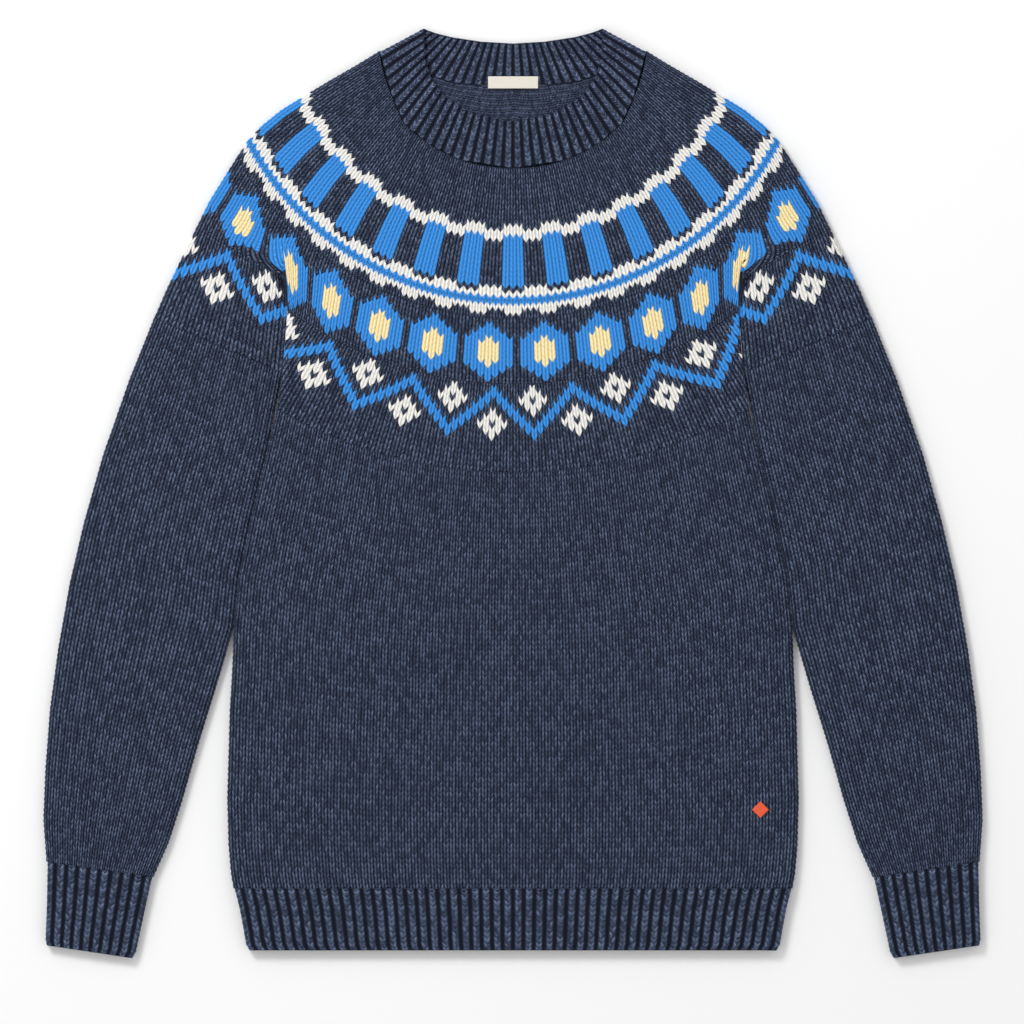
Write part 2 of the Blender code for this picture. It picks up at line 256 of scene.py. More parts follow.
def place_body(is_front, columns, rows):
    """Half of the body's tube: rows start as the yoke's circle and straighten to the hem."""
    top_half, foot = BODY_EDGE[0][0] * MM, BODY_EDGE[-1][1] * MM
    radius = YOKE_EDGE + CLOSE_SEAM
    top_edge = math.sqrt(radius**2 - top_half**2)
    drops = table_column(BODY_EDGE, 1)
    drops[0] = top_edge
    halves = table_column(BODY_EDGE, 0)
    height = LAID - SEAM

    def place(c, r, depth):
        edge_drop = top_edge + (foot - top_edge) * r / rows
        half = np.interp(edge_drop, drops, halves)
        across = 2 * c / columns - 1
        plan, z = side_fold(np.abs(across), half, height, depth)
        part = plan / half
        arc = np.sqrt(radius**2 - (part * top_half) ** 2) - top_edge
        drop = edge_drop + (foot - edge_drop) / (foot - top_edge) * arc
        x = np.sign(across) * plan
        return (x, drop, z + SEAM) if is_front else (-x, drop, height - z)

    return place


def place_ring(edges, columns, rows, height, side=1, pressed=0.0):
    """A flattened tube between two edges: rows of outer x, outer drop, inner x, inner drop."""
    a_x, a_drop, b_x, b_drop = (table_column(edges, i) for i in range(4))
    length = (np.hypot(np.diff(a_x), np.diff(a_drop)) + np.hypot(np.diff(b_x), np.diff(b_drop)))
    down = np.concatenate([[0], np.cumsum(length)])
    down /= down[-1]
    half_round = columns / 2

    def place(c, r, depth):
        turn = np.mod(c, columns)
        front = turn <= half_round
        t = np.where(front, turn, columns - turn) / half_round
        across = (2 * t - 1) * side
        share = r / rows
        ax, ad, bx, bd = (np.interp(share, down, values) for values in (a_x, a_drop, b_x, b_drop))
        half = np.hypot(ax - bx, ad - bd) / 2
        plan, z = side_fold(np.abs(across), half, height, depth)
        part = 0.5 + np.sign(across) * plan / (2 * half)
        x, drop = bx + part * (ax - bx), bd + part * (ad - bd)
        near = np.clip(1 - part * 2 * half / VALLEY_REACH, 0, 1) ** 2
        fade = np.clip(1 - share / VALLEY_FADE, 0, 1)
        z = z - pressed * near * fade * np.clip(2 * z / height - 1, 0, 1)
        return side * x, drop, np.where(front, z, height - z)

    return place


FRONT_RIBS, BACK_RIBS, COLLAR_ROWS = 38, 28, 9
COLLAR_RIBS = FRONT_RIBS + BACK_RIBS


def place_collar(c, r, depth):
    """The collar's tube from its top edge down to the neck seam, front and back alike."""
    turn = np.mod(c, COLLAR_RIBS)
    side = np.where(turn <= COLLAR_RIBS / 2, 1.0, -1.0)
    turn = np.where(side > 0, turn, COLLAR_RIBS - turn)
    front = turn <= FRONT_RIBS / 2
    share = np.where(front, turn / (FRONT_RIBS / 2), (COLLAR_RIBS / 2 - turn) / (BACK_RIBS / 2))
    rise = 1 - r / COLLAR_ROWS
    x, drop, z = 0, 0, 0
    for seam, top, here in (
        (NECK_SEAM_FRONT, COLLAR_TOP_FRONT, front),
        (NECK_SEAM_BACK, COLLAR_TOP_BACK, ~front),
    ):
        length = along(seam, share)[2] * (1 - rise) + along(top, share)[2] * rise
        plan, height = side_fold(share, length, COLLAR_LAID, depth)
        low, high = along(seam, plan / length), along(top, plan / length)
        x = x + here * (low[0] + (high[0] - low[0]) * rise)
        drop = drop + here * (low[1] + (high[1] - low[1]) * rise)
        z = z + here * height
    return side * x, drop, np.where(front, z, COLLAR_LAID - z)


# ------------------------------------------------------------------ stitch meshes
PLAIN = [-0.55, 0.36, -0.42, 0.36]  # relief across a stitch: side, leg, middle, leg
RIB = [-0.95, -0.60, 0.40, -0.15, 0.40, -0.60]  # relief across a rib and its valley
ROW_RELIEF = [-0.33, 0.20]  # relief at a row's edge and middle
SLANT = 0.9  # rows that a leg climbs from its stitch's middle to its side


def zipper(upper, lower, closed=False):
    """Triangles between two rows of corners of unlike counts."""
    upper, lower = list(upper), list(lower)
    if closed:
        upper, lower = upper + upper[:1], lower + lower[:1]
    n, m = len(upper) - 1, len(lower) - 1
    faces, i, j = [], 0, 0
    while i < n or j < m:
        if j == m or (i < n and (i + 1) * m <= (j + 1) * n):
            faces.append((upper[i], lower[j], upper[i + 1]))
            i += 1
        else:
            faces.append((upper[i], lower[j], lower[j + 1]))
            j += 1
    return faces


class Knit:
    """Gathers the corners, faces, yarns and stitch coordinates of one piece."""

    def __init__(self, name):
        self.name = name
        self.points, self.faces, self.yarns, self.uv, self.inside = [], [], [], [], []
        self.lifts, self.rims = [], []
        self.count = 0

    def corners(self, points, lift):
        index = self.count + np.arange(points[..., 0].size).reshape(points.shape[:-1])
        self.points.append(points.reshape(-1, 3))
        self.lifts.append(np.broadcast_to(lift, index.shape).reshape(-1))
        self.count += index.size
        return index

    def grid(self, index, closed, yarn, u, v, inside=0):
        if closed:
            index = np.concatenate([index, index[:, :1]], axis=1)
        corners = [index[:-1, :-1], index[1:, :-1], index[1:, 1:], index[:-1, 1:]]
        self.faces.append(np.stack(corners, axis=-1).reshape(-1, 4))
        self.yarns.append(np.broadcast_to(yarn, index[1:, 1:].shape).reshape(-1))
        self.inside.append(np.full(index[1:, 1:].size, inside))
        u, v = np.meshgrid(u, v)
        places = np.stack([u, v], axis=-1)
        corners = [places[:-1, :-1], places[1:, :-1], places[1:, 1:], places[:-1, 1:]]
        self.uv.append(np.stack(corners, axis=-2).reshape(-1, 4, 2))

    def rim(self, upper, lower, closed=False):
        """Joins the cloth's two faces along an edge, as a crisp edge."""
        self.rims += [upper, lower]
        self.triangles(zipper(upper, lower, closed))

    def triangles(self, faces, inside=0):
        faces = np.asarray(faces, int)
        self.faces.append(np.column_stack([faces, faces[:, 2]]))
        self.yarns.append(np.zeros(len(faces), int))
        self.inside.append(np.full(len(faces), inside))
        self.uv.append(np.zeros((len(faces), 4, 2)))

    def build(self, materials):
        faces, uv = np.concatenate(self.faces), np.concatenate(self.uv)
        yarns, inside = np.concatenate(self.yarns), np.concatenate(self.inside)
        keep = faces != np.roll(faces, -1, axis=1)
        size = keep.sum(axis=1)
        real = size >= 3
        faces, uv, yarns, inside = faces[real], uv[real], yarns[real], inside[real]
        keep, size = keep[real], size[real]
        used, loops = np.unique(faces[keep], return_inverse=True)
        mesh = bpy.data.meshes.new(self.name)
        mesh.vertices.add(len(used))
        mesh.vertices.foreach_set("co", np.concatenate(self.points)[used].astype("f").ravel())
        mesh.loops.add(len(loops))
        mesh.loops.foreach_set("vertex_index", loops.astype("i").ravel())
        mesh.polygons.add(len(size))
        starts = np.concatenate([[0], np.cumsum(size)[:-1]])
        mesh.polygons.foreach_set("loop_start", starts.astype("i"))
        mesh.update(calc_edges=True)
        mesh.validate()
        mesh.polygons.foreach_set("material_index", inside.astype("i"))
        yarn = np.repeat(yarns, size)
        colours = np.column_stack([YARN_COLOURS[yarn], np.ones(len(yarn))])
        layer = mesh.color_attributes.new("yarn", "FLOAT_COLOR", "CORNER")
        layer.data.foreach_set("color", colours.astype("f").ravel())
        heather = mesh.attributes.new("heather", "FLOAT", "CORNER")
        heather.data.foreach_set("value", HEATHER[yarn].astype("f"))
        stitches = mesh.uv_layers.new(name="stitches")
        stitches.data.foreach_set("uv", uv[keep].astype("f").ravel())
        mesh.shade_smooth()
        rim = np.isin(used, np.concatenate(self.rims))
        edges = np.empty(len(mesh.edges) * 2, "i")
        mesh.edges.foreach_get("vertices", edges)
        crisp = rim[edges.reshape(-1, 2)].all(axis=1)
        mesh.attributes.new("sharp_edge", "BOOLEAN", "EDGE").data.foreach_set("value", crisp)
        lift = mesh.attributes.new("lift", "FLOAT", "POINT")
        lift.data.foreach_set("value", np.concatenate(self.lifts)[used].astype("f"))
        for material in materials:
            mesh.materials.append(material)
        piece = bpy.data.objects.new(self.name, mesh)
        bpy.context.scene.collection.objects.link(piece)
        return piece


def to_world(x, drop, z):
    return np.stack([x, MIDDLE - drop, z], axis=-1)


def raised(points, height, closed):
    """Moves a grid of points along its own normals."""
    if closed:
        round_row = np.roll(points, -1, axis=1) - np.roll(points, 1, axis=1)
    else:
        round_row = np.gradient(points, axis=1)
    normal = np.cross(np.gradient(points, axis=0), round_row)
    normal /= np.maximum(np.linalg.norm(normal, axis=-1, keepdims=True), 1e-15)
    return points + normal * height[..., None]


def fabric(knit, place, columns, rows, closed, profile=PLAIN, shift=0, chart=None, floor=None,
           amount=1.0, depth=0.0, soften=None):
    """Adds a field of stitches and returns its grid of corners.  place(c, r, depth) gives x,
    drop and z.  chart(column, row) gives each stitch's yarn.  floor(c) is the row on which the
    field starts in each column.  soften(c, r) scales the relief."""
    per = len(profile)
    across = np.arange(columns * per + (0 if closed else 1))
    down = np.arange(rows * 2 + 1)
    lean = 1 - 2 * np.abs(((across + shift) % per) / per * 2 - 1)
    ends = np.clip(down, 0, 1) * np.clip(rows * 2 - down, 0, 1)
    r = down[:, None] / 2 + 0.5 * SLANT * lean[None, :] * ends[:, None]
    c = np.broadcast_to(across / per, r.shape)
    shape = np.array(profile)[(across + shift) % per][None, :]
    in_row = np.where((down > 0) & (down < rows * 2), np.array(ROW_RELIEF)[down % 2], 0)
    height = RELIEF * amount * (shape + in_row[:, None])
    if soften is not None:
        height = height * soften(c, r)
    # How raised each corner is, 0 in a groove and 1 on a leg; the wool shader turns it into painted
    # shade in the grooves and painted highlights on the legs.
    lift = (shape - min(profile)) / (max(profile) - min(profile))
    if floor is not None:
        start = floor(c)
        first = np.maximum((r <= start).sum(axis=0) - 1, 0)
        r = np.maximum(r, start)
    index = knit.corners(raised(to_world(*place(c, r, depth)), height, closed), lift)
    if floor is not None:
        index = np.take_along_axis(index, np.maximum(down[:, None], first[None, :]), axis=0)
    quads = columns * per
    column = (np.arange(quads) + shift) // per
    row = np.arange(rows * 2) // 2
    yarn = chart(*np.meshgrid(column, row)) if chart else NAVY
    u = (np.arange(quads + 1) + shift) / per
    knit.grid(index, closed, yarn, u, down / 2)
    return index


def lining(knit, place, columns, rows, closed, wall, start=None):
    """Adds the plain inner face of the cloth, turned inwards, in coarser steps."""
    across = np.linspace(0, columns, columns // 2 + 1)
    down = np.linspace(0, rows, max(rows // 3, 1) + 1)
    c, r = np.meshgrid(across[:-1] if closed else across, down)
    if start is not None:
        r = start(c) + (rows - start(c)) * r / rows
    # The inner face gets a middling lift, so a middling painted shade.
    index = knit.corners(to_world(*place(c, r, wall)), 0.6)
    knit.grid(index[::-1], closed, NAVY, across, down[::-1], 1)
    return index


def close_rims(knit, outer, inner, closed):
    knit.rim(inner[0], outer[0], closed)
    knit.rim(outer[-1], inner[-1], closed)


# ------------------------------------------------------------------ materials
def node(tree, kind, values=(), **settings):
    made = tree.nodes.new(kind)
    for key, value in settings.items():
        setattr(made, key, value)
    for key, value in values:
        if isinstance(value, bpy.types.NodeSocket):
            tree.links.new(value, made.inputs[key])
        else:
            made.inputs[key].default_value = value
    return made


def maths(tree, operation, *values):
    made = node(tree, "ShaderNodeMath", enumerate(values), operation=operation)
    return made.outputs[0]


def ranged(tree, value, low, high, to_low, to_high, smooth=False):
    kind = "SMOOTHSTEP" if smooth else "LINEAR"
    values = enumerate((value, low, high, to_low, to_high))
    return node(tree, "ShaderNodeMapRange", values, interpolation_type=kind).outputs[0]


def blend(tree, share, first, second):
    values = [(0, share), (6, first), (7, second)]
    return node(tree, "ShaderNodeMix", values, data_type="RGBA").outputs[2]


def strands(tree, stitches, scale, detail):
    """Noise drawn out along each leg: rows of stitches are straight in these coordinates."""
    stretched = node(tree, "ShaderNodeMapping", [(0, stitches), (3, scale)])
    values = [("Vector", stretched.outputs[0]), ("Scale", 1.0), ("Detail", detail),
              ("Roughness", 0.6)]
    return node(tree, "ShaderNodeTexNoise", values).outputs[0]


def wool_group():
    """Yarn with lighter heather strands along the legs, painted shade between its legs and rows, and
    a slight painted highlight on the legs' raised tops.
    """
    tree = bpy.data.node_groups.new("yarn heather with painted shade and highlights", "ShaderNodeTree")
    for name, kind in (("Yarn", "Color"), ("Heather", "Float"), ("Lift", "Float"),
                       ("Stitches", "Vector")):
        tree.interface.new_socket(name, in_out="INPUT", socket_type=f"NodeSocket{kind}")
    for name, kind in (("Color", "Color"), ("Height", "Float")):
        tree.interface.new_socket(name, in_out="OUTPUT", socket_type=f"NodeSocket{kind}")
    given = tree.nodes.new("NodeGroupInput").outputs
    result = tree.nodes.new("NodeGroupOutput").inputs
    split = node(tree, "ShaderNodeSeparateXYZ", [(0, given["Stitches"])])
    leg = maths(tree, "FLOOR", maths(tree, "MULTIPLY", split.outputs[0], 2.0))
    row = maths(tree, "FLOOR", split.outputs[1])
    place = node(tree, "ShaderNodeCombineXYZ", [(0, leg), (1, row), (2, 0.37)])
    chance = node(tree, "ShaderNodeTexWhiteNoise", [(0, place.outputs[0])]).outputs[0]
    fine = strands(tree, given["Stitches"], (3.1, 5.3, 1.0), 2.0)
    edge = maths(tree, "ABSOLUTE", ranged(tree, maths(tree, "FRACT", split.outputs[1]), 0, 1, -1, 1))
    in_row = ranged(tree, maths(tree, "POWER", edge, 3.0), 0.0, 1.0, 1.0, 0.45)
    in_leg = ranged(tree, given["Lift"], 0.0, 0.9, 0.0, 1.0, True)
    raised_part = maths(tree, "MULTIPLY", in_row, in_leg)
    # Painted light and shade of the plies' twist: two lighter and two deeper bands a row along each
    # leg.
    ply_light_and_shade = maths(tree, "ADD", maths(tree, "MULTIPLY", split.outputs[1], 4 * math.pi),
                maths(tree, "MULTIPLY", chance, 2.5))
    ply_light_and_shade = ranged(tree, maths(tree, "SINE", ply_light_and_shade), -1.0, 1.0, 0.0, 1.0)
    fleck = maths(tree, "ADD", maths(tree, "MULTIPLY", chance, 0.30), fine)
    fleck = maths(tree, "ADD", fleck, maths(tree, "MULTIPLY", ply_light_and_shade, 0.28))
    light = ranged(tree, fleck, 0.56, 1.12, 0.0, 1.0)
    # Painted highlight: the lighter flecks gather on the legs' raised middles, where light falls;
    # their random spread is the navy yarn's own heather.
    light = maths(tree, "MULTIPLY", maths(tree, "POWER", light, 1.2), raised_part)
    flecked_and_highlit = blend(tree, maths(tree, "MULTIPLY", light, given["Heather"]), given["Yarn"], FLECK_AND_HIGHLIGHT)
    # Painted shade: the colour is lowered in the grooves between legs and between rows by how raised
    # each point is, more so in darker yarns. It is raised a little on the legs' tops as a painted
    # highlight.
    bright = node(tree, "ShaderNodeRGBToBW", [(0, given["Yarn"])]).outputs[0]
    deepest = ranged(tree, bright, 0.02, 0.6, 0.42, 0.62)
    spread = maths(tree, "SUBTRACT", 1.12, deepest)
    shade = maths(tree, "ADD", deepest, maths(tree, "MULTIPLY", raised_part, spread))
    shade = maths(tree, "MULTIPLY", shade, ranged(tree, ply_light_and_shade, 0.0, 1.0, 0.86, 1.1))
    # The fine strands give the yarn's own random tone.
    shade = maths(tree, "MULTIPLY", shade, ranged(tree, fine, 0.3, 0.7, 0.88, 1.1))
    toned = node(tree, "ShaderNodeVectorMath", [(0, flecked_and_highlit), ("Scale", shade)],
                 operation="SCALE")
    tree.links.new(toned.outputs[0], result["Color"])
    height = maths(tree, "ADD", maths(tree, "MULTIPLY", fine, 0.6), raised_part)
    tree.links.new(height, result["Height"])
    return tree


WOOL = wool_group()


def wool(name, purl=False):
    material = bpy.data.materials.new(name)
    material.use_nodes = True
    tree = material.node_tree
    shader = tree.nodes["Principled BSDF"]
    shader.inputs["Roughness"].default_value = 0.85
    shader.inputs["Sheen Weight"].default_value = 0.04
    shader.inputs["Sheen Roughness"].default_value = 0.5
    shader.inputs["Specular IOR Level"].default_value = 0.1
    yarn = node(tree, "ShaderNodeAttribute", attribute_name="yarn")
    heather = node(tree, "ShaderNodeAttribute", attribute_name="heather")
    stitches = node(tree, "ShaderNodeUVMap", uv_map="stitches")
    mixed = node(tree, "ShaderNodeGroup", node_tree=WOOL)
    tree.links.new(yarn.outputs["Color"], mixed.inputs["Yarn"])
    tree.links.new(heather.outputs["Fac"], mixed.inputs["Heather"])
    # lift drives the yarn group's painted groove shade and leg highlights.
    lift = node(tree, "ShaderNodeAttribute", attribute_name="lift")
    tree.links.new(lift.outputs["Fac"], mixed.inputs["Lift"])
    tree.links.new(stitches.outputs[0], mixed.inputs["Stitches"])
    tree.links.new(mixed.outputs["Color"], shader.inputs["Base Color"])
    height = mixed.outputs["Height"]
    depth = 0.25 * MM
    if purl:
        split = node(tree, "ShaderNodeSeparateXYZ", [(0, stitches.outputs[0])])
        wave = maths(tree, "SINE", maths(tree, "MULTIPLY", split.outputs[0], 2 * math.pi))
        bent = maths(tree, "ADD", split.outputs[1], maths(tree, "MULTIPLY", wave, 0.25))
        loops = maths(tree, "SINE", maths(tree, "MULTIPLY", bent, 2 * math.pi))
        height = maths(tree, "ADD", maths(tree, "MULTIPLY", loops, 1.5), height)
        depth = 0.35 * MM
    bump = node(
        tree, "ShaderNodeBump", [("Height", height), ("Distance", depth), ("Strength", 0.8)]
    )
    tree.links.new(bump.outputs[0], shader.inputs["Normal"])
    return material


def woven(name, colour, scale):
    """A tape or thread: fine crossing yarns, with painted shade where the weave lies low."""
    material = bpy.data.materials.new(name)
    material.use_nodes = True
    tree = material.node_tree
    shader = tree.nodes["Principled BSDF"]
    shader.inputs["Roughness"].default_value = 0.7
    place = node(tree, "ShaderNodeTexCoord")
    split = node(tree, "ShaderNodeSeparateXYZ", [(0, place.outputs["Object"])])
    warp = maths(tree, "SINE", maths(tree, "MULTIPLY", split.outputs[0], scale))
    weft = maths(tree, "SINE", maths(tree, "MULTIPLY", split.outputs[1], scale))
    crossing = maths(tree, "MULTIPLY", warp, weft)
    # Painted shade: the colour is lowered where the weave's height is low.
    weave_shade_share = node(tree, "ShaderNodeMapRange", [(0, crossing), (1, -1.0), (2, 1.0), (3, 0.0), (4, 1.0)])
    weave_shade_colour = tuple(0.82 * value for value in colour)
    mixed = node(
        tree, "ShaderNodeMix", [(0, weave_shade_share.outputs[0]), (6, (*weave_shade_colour, 1)), (7, (*colour, 1))],
        data_type="RGBA",
    )
    tree.links.new(mixed.outputs[2], shader.inputs["Base Color"])
    bump = node(
        tree, "ShaderNodeBump", [("Height", crossing), ("Distance", 0.1 * MM), ("Strength", 0.6)]
    )
    tree.links.new(bump.outputs[0], shader.inputs["Normal"])
    return material


KNIT_SIDE = wool("knit side of the wool")
WRONG_SIDE = wool("wrong side of the wool", purl=True)
LOOKS = [KNIT_SIDE, WRONG_SIDE]


# ------------------------------------------------------------------ the yoke's chart
def from_centre(k, period, offset=0):
    return np.mod(k + offset + period // 2, period) - period // 2


def bars(k, row):
    """White edges with teeth, and blue bars three stitches wide between them."""
    bar = np.abs(from_centre(k, 6)) <= 1
    yarn = np.where((bar & (row >= 2) & (row <= 11)) | (row == 14), BLUE, NAVY)
    gap_white = (row == 2) | (row == 12)
    white = (row == 1) | (row == 13) | (bar & (row == 0)) | (~bar & gap_white)
    return np.where(white, CREAM, yarn)


def line_and_teeth(k, row):
    """A blue line, a white line below it, and its teeth."""
    tooth = np.abs(from_centre(k, 6)) <= 1
    white = (row == 1) | (tooth & (row == 2))
    return np.where(row == 0, BLUE, np.where(white, CREAM, NAVY))


def hexagons(k, row):
    """Blue hexagons seven stitches wide, each with a yellow heart."""
    across = np.abs(from_centre(k, 8, 4))
    up = row - 1
    tall = 6 - across
    blue = (across <= 3) & (up >= 6 - tall) & (up < 6 + tall)
    heart = ((across == 0) & (up >= 3) & (up <= 8)) | ((across == 1) & (up >= 4) & (up <= 7))
    return np.where(heart, YELLOW, np.where(blue, BLUE, NAVY))


def zigzag(k, row):
    """A blue zigzag with an open white lozenge under each peak and over each valley."""
    row = row - 1
    k = np.where(k < 1 - SLEEVE_STITCH, k - LEFT_HIDDEN, k)
    from_peak = from_centre(k + 4, 14)
    from_valley = from_centre(k - 3, 14)
    line = (row == np.abs(from_peak)) | (row == np.abs(from_peak) + 1)
    low = np.abs(from_peak) + np.abs(row - 6)
    high = np.abs(from_valley) + np.abs(row - 2)
    white = ((low <= 2) & (low > 0)) | ((high <= 2) & (high > 0))
    return np.where(line, BLUE, np.where(white, CREAM, NAVY))


BANDS = [  # stitches round, shift in quarter stitches, chart, rows and their heights
    (168, 2, bars, [(12, 4.017), (2, 3.9), (1, 2.96)]),
    (228, 2, line_and_teeth, [(1, 2.96), (2, 3.82), (1, 3.35)]),
    (200, 0, hexagons, [(1, 3.35), (12, 3.82), (1, 1.7)]),
    (236, 0, zigzag, [(1, 1.73), (9, 4.602), (6, 4.29)]),
]
BARS_START = 174.0 * MM
NECK_ROW = 4.017 * MM


def seam_radius(table, share):
    """Radius of the neck seam at shares of the way from the centre line to the shoulder."""
    angles = np.arctan2(table_column(table, 0), table_column(table, 1))
    radii = np.hypot(table_column(table, 0), table_column(table, 1))
    radius = np.full_like(share, NECK_RADIUS)
    for _ in range(6):
        angle = share * np.interp(radius, RADII, SHOULDER)
        radius = np.interp(angle, angles, radii)
    return radius


def build_yoke(name, middle, seam, neck_rows):
    """Half of the yoke's ring, with its middle at this count of stitches."""
    knit = Knit(name)
    top, last, side_left, side_right, rims = BARS_START, None, [], [], []
    for number, (round_count, shift, chart, heights) in enumerate(BANDS):
        columns = round_count // 2
        tall = np.concatenate([[height] * count for count, height in heights]) * MM
        rows_above = 0
        if number == 0:
            rows_above = neck_rows
            tall = np.concatenate([[NECK_ROW] * neck_rows, tall])
            top -= neck_rows * NECK_ROW
        edges = top + np.concatenate([[0], np.cumsum(tall)])
        if number == len(BANDS) - 1:
            edges = top + (YOKE_EDGE - top) * (edges - top) / (edges[-1] - top)

        def stitch_of(c, columns=columns):
            return middle + (c / columns - 0.5) * 2 * QUARTER

        low = chart is zigzag

        def place(c, r, depth, edges=edges, stitch_of=stitch_of, low=low):
            radius = np.interp(r, np.arange(len(edges)), edges)
            return place_yoke(stitch_of(c), radius, depth, low)

        def soften(c, r, edges=edges, stitch_of=stitch_of, low=low):
            radius = np.interp(r, np.arange(len(edges)), edges)
            return fold_softening(stitch_of(c), radius, low)

        def start(c, edges=edges, columns=columns):
            radius = seam_radius(seam, np.abs(c / columns - 0.5) * 2)
            return np.interp(radius, edges, np.arange(len(edges)))

        def yarn(k, row, columns=columns, rows_above=rows_above, chart=chart):
            return chart(k - columns // 2, row - rows_above)

        rows = len(tall)
        grid = fabric(
            knit, place, columns, rows, False, shift=shift, chart=yarn,
            floor=start if number == 0 else None, soften=soften,
        )
        inner = lining(knit, place, columns, rows, False, CLOTH, start if number == 0 else None)
        side_left.append((grid[:, 0], inner[:, 0]))
        side_right.append((inner[:, -1], grid[:, -1]))
        if last is None:
            knit.rim(inner[0], grid[0])
        else:
            knit.triangles(zipper(last[0][-1], grid[0]))
            knit.triangles(zipper(inner[0], last[1][-1]), 1)
        last = (grid, inner)
        top = edges[-1]
    knit.rim(last[0][-1], last[1][-1])
    for sides in (side_left, side_right):
        upper = np.concatenate([pair[0] for pair in sides])
        lower = np.concatenate([pair[1] for pair in sides])
        knit.rim(upper, lower)
    return knit.build(LOOKS)


def build_panel(name, place, columns, rows):
    knit = Knit(name)
    grid = fabric(knit, place, columns, rows, False)
    inner = lining(knit, place, columns, rows, False, CLOTH)
    close_rims(knit, grid, inner, False)
    knit.rim(grid[:, 0], inner[:, 0])
    knit.rim(inner[:, -1], grid[:, -1])
    return knit.build(LOOKS)


def build_tube(name, place, columns, rows, wall, profile=PLAIN):
    knit = Knit(name)
    grid = fabric(knit, place, columns, rows, True, profile)
    inner = lining(knit, place, columns, rows, True, wall)
    close_rims(knit, grid, inner, True)
    return knit.build(LOOKS)


def build_collar():
    """The collar shows both its faces, so both are ribbed."""
    knit = Knit("collar_knit")
    grid = fabric(knit, place_collar, COLLAR_RIBS, COLLAR_ROWS, True, RIB)

    def turned(c, r, depth):
        return place_collar(-c, r, COLLAR_CLOTH)

    inner = fabric(knit, turned, COLLAR_RIBS, COLLAR_ROWS, True, RIB, amount=0.8)
    matched = np.roll(inner[:, ::-1], 1, axis=1)
    close_rims(knit, grid, matched, True)
    return knit.build(LOOKS)


# ------------------------------------------------------------------ the pieces
BODY_COLUMNS, BODY_ROWS = 90, 82
SLEEVE_COLUMNS, SLEEVE_ROWS = 48, 104
HEM_RIBS, HEM_ROWS = 104, 12
CUFF_RIBS, CUFF_ROWS = 20, 16
FRONT_NECK_ROWS, BACK_NECK_ROWS = 16, 28


def finish(piece, slot, *nodes):
    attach(piece, "root")
    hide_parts(*nodes)
    return piece


def sleeve_start():
    """Outer and inner ends of a sleeve's first row, just below the yoke's last."""
    ends = []
    for count in (QUARTER - TINY, SLEEVE_STITCH + TINY):
        x, drop, _ = place_yoke(np.array([count]), np.array([YOKE_EDGE]), 0, True)
        ends += [
            (x[0] + CLOSE_SEAM * math.sin(TILT)) / MM,
            (drop[0] + CLOSE_SEAM * math.cos(TILT)) / MM,
        ]
    return tuple(ends)


yoke_front = build_yoke("yoke_front_knit", 0, NECK_SEAM_FRONT, FRONT_NECK_ROWS)
finish(yoke_front, "pattern_wool", "yoke")
yoke_back = build_yoke("yoke_back_knit", 2 * QUARTER, NECK_SEAM_BACK, BACK_NECK_ROWS)
finish(yoke_back, "pattern_wool", "yoke")

for face, is_front in (("front", True), ("back", False)):
    place = place_body(is_front, BODY_COLUMNS, BODY_ROWS)
    panel = build_panel(f"body_{face}_knit", place, BODY_COLUMNS, BODY_ROWS)
    finish(panel, "navy_wool", f"body_{face}")

hem_edges = [(half, HEM_TOP + down, -half, HEM_TOP + down) for half, down in HEM_EDGE]
place = place_ring(hem_edges, HEM_RIBS, HEM_ROWS, LAID)
hem = build_tube("hem_rib_knit", place, HEM_RIBS, HEM_ROWS, RIB_CLOTH, RIB)
finish(hem, "navy_rib", "hem_rib")

sleeves, cuffs = [], []
for hand, side in (("left", 1), ("right", -1)):
    edges = [sleeve_start()] + SLEEVE_EDGES
    place = place_ring(edges, SLEEVE_COLUMNS, SLEEVE_ROWS, SLEEVE_LAID, side, SLEEVE_VALLEY)
    sleeve = build_tube(f"sleeve_{hand}_knit", place, SLEEVE_COLUMNS, SLEEVE_ROWS, CLOTH)
    sleeves.append(finish(sleeve, "navy_wool", f"sleeve_{hand}"))
    place = place_ring(CUFF_EDGES, CUFF_RIBS, CUFF_ROWS, SLEEVE_LAID, side)
    cuff = build_tube(f"cuff_{hand}_knit", place, CUFF_RIBS, CUFF_ROWS, RIB_CLOTH, RIB)
    cuffs.append(finish(cuff, "navy_rib", f"cuff_{hand}"))

collar = finish(build_collar(), "navy_rib", "collar")


def build_label():
    """A blank tape with softened edges, sewn inside the back of the neck."""
    low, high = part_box("neck_label")
    bpy.ops.object.select_all(action="DESELECT")
    bpy.ops.mesh.primitive_cube_add(size=1, location=(low + high) / 2)
    piece = bpy.context.object
    piece.name = "label_tape"
    piece.scale = high - low
    bpy.ops.object.transform_apply(location=True, rotation=True, scale=True)
    edge = piece.modifiers.new("edge", "BEVEL")
    edge.width = 0.2 * MM
    edge.segments = 2
    bpy.ops.object.modifier_apply(modifier="edge")
    piece.data.materials.append(woven("cream tape", (0.80, 0.76, 0.66), TAPE_THREADS))
    return piece


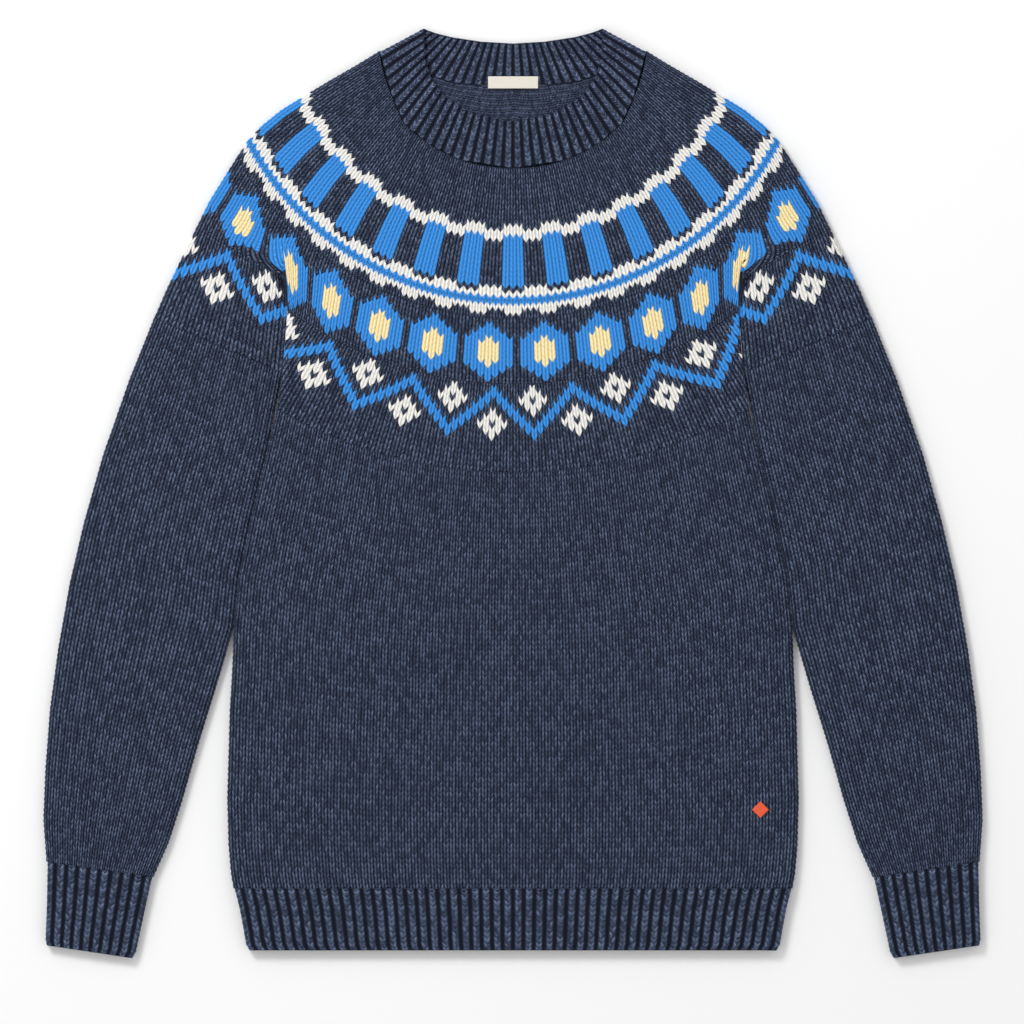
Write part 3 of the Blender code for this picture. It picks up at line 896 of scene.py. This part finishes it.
def build_badge():
    """A plain stitched lozenge with a sloping border."""
    low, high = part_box("hem_badge")
    middle, half = (low + high) / 2, (high - low) / 2
    corners, faces = [], []
    for z, inset in ((low.z, 1.0), (high.z - 0.3 * MM, 1.0), (high.z, 0.88)):
        for x, y in ((1, 0), (0, 1), (-1, 0), (0, -1)):
            corners.append((middle.x + x * half.x * inset, middle.y + y * half.y * inset, z))
    for ring in range(2):
        for i in range(4):
            j = (i + 1) % 4
            faces.append((4 * ring + i, 4 * ring + j, 4 * ring + 4 + j, 4 * ring + 4 + i))
    faces += [(3, 2, 1, 0), (8, 9, 10, 11)]
    mesh = bpy.data.meshes.new("lozenge_badge")
    mesh.from_pydata(corners, [], faces)
    mesh.materials.append(woven("orange thread", (0.85, 0.10, 0.03), BADGE_THREADS))
    piece = bpy.data.objects.new("lozenge_badge", mesh)
    bpy.context.scene.collection.objects.link(piece)
    return piece


TAPE_THREADS, BADGE_THREADS = 9000, 6000  # radians of the weave's waves a metre
finish(build_label(), "label_tape", "neck_label")
finish(build_badge(), "badge_thread", "hem_badge")

# ------------------------------------------------------------------ floor, light and camera
bpy.ops.mesh.primitive_plane_add(size=8, location=(0, 0, -0.3 * MM))
floor = bpy.context.object
floor.name = "floor"
paper = bpy.data.materials.new("pale floor")
paper.use_nodes = True
surface = paper.node_tree.nodes["Principled BSDF"].inputs
surface["Base Color"].default_value = (0.9, 0.9, 0.9, 1)
surface["Roughness"].default_value = 0.9
floor.data.materials.append(paper)

world = bpy.data.worlds.new("soft studio")
bpy.context.scene.world = world
world.use_nodes = True
sky = world.node_tree.nodes["Background"].inputs
sky["Color"].default_value = (1, 1, 1, 1)
sky["Strength"].default_value = 0.75


def lamp(name, place, aim, size, power):
    light = bpy.data.lights.new(name, "AREA")
    light.size = size
    light.energy = power
    made = bpy.data.objects.new(name, light)
    made.location = place
    way = Vector(aim) - Vector(place)
    made.rotation_euler = way.to_track_quat("-Z", "Y").to_euler()
    bpy.context.scene.collection.objects.link(made)


lamp("key", (-1.4, 1.8, 2.2), (0, 0, 0), 1.0, 55)

CAMERA_HEIGHT, CLOTH_TOP, VIEW_WIDTH, SENSOR = 6.0, 0.008, 0.799, 36
camera_data = bpy.data.cameras.new("camera")
camera = bpy.data.objects.new("camera", camera_data)
camera.location = (-0.0008, -0.0144, CAMERA_HEIGHT)
camera_data.lens = SENSOR * (CAMERA_HEIGHT - CLOTH_TOP) / VIEW_WIDTH
camera_data.clip_end = 100
bpy.context.scene.collection.objects.link(camera)
bpy.context.scene.camera = camera
bpy.context.scene.view_settings.view_transform = "Standard"
